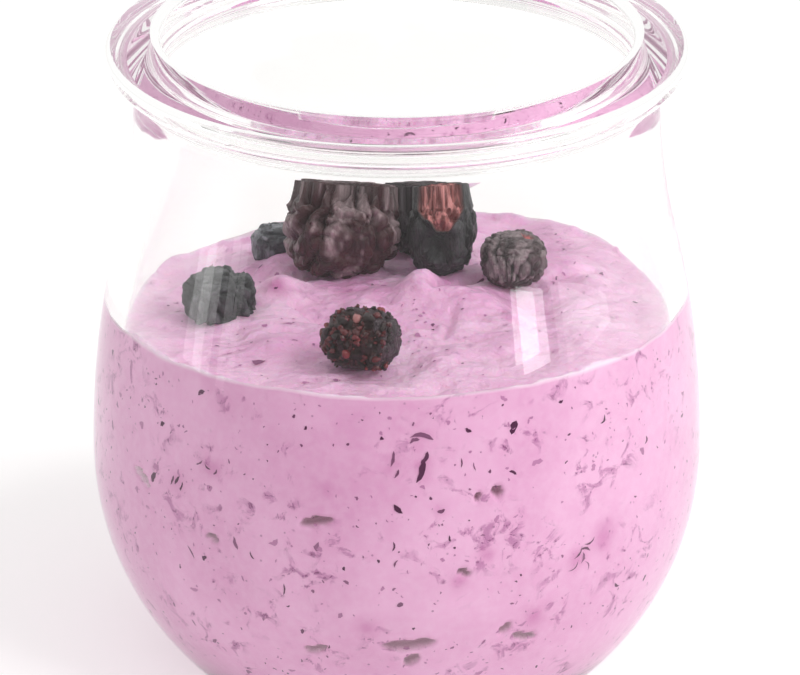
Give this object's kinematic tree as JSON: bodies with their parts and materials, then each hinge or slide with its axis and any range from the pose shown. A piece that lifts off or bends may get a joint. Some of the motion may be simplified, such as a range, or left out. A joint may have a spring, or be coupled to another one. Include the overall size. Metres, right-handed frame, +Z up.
{
  "type": "mousse pot",
  "caption": "Small clear glass tulip jar with a heavy rolled rim, filled with pink berry mousse and topped with whole and broken dark dried berries.",
  "frame": {"origin": "on the axis of the jar, in the plane it stands on", "axes": "+Z up along the jar's axis, -Y the front, +X to the right"},
  "size_m": [0.075, 0.075, 0.08],
  "materials": {
    "glass": "clear polished, faintly hazed outside by handling",
    "mousse": "soft moist mousse, satin, flecked with dark berry skin",
    "berry": "wrinkled dried berry skin with a grey bloom, satin",
    "berry_open": "wrinkled dark skin with a torn, red top",
    "berry_crumbled": "broken, grainy dark red flesh with dark skin"
  },
  "bodies": {
    "root": {"jar": "glass", "mousse": "mousse", "berry_large": "berry", "berry_open": "berry_open", "berry_right": "berry", "berry_back": "berry", "berry_back_left": "berry", "berry_left": "berry", "berry_front": "berry_crumbled"}
  },
  "joints": []
}
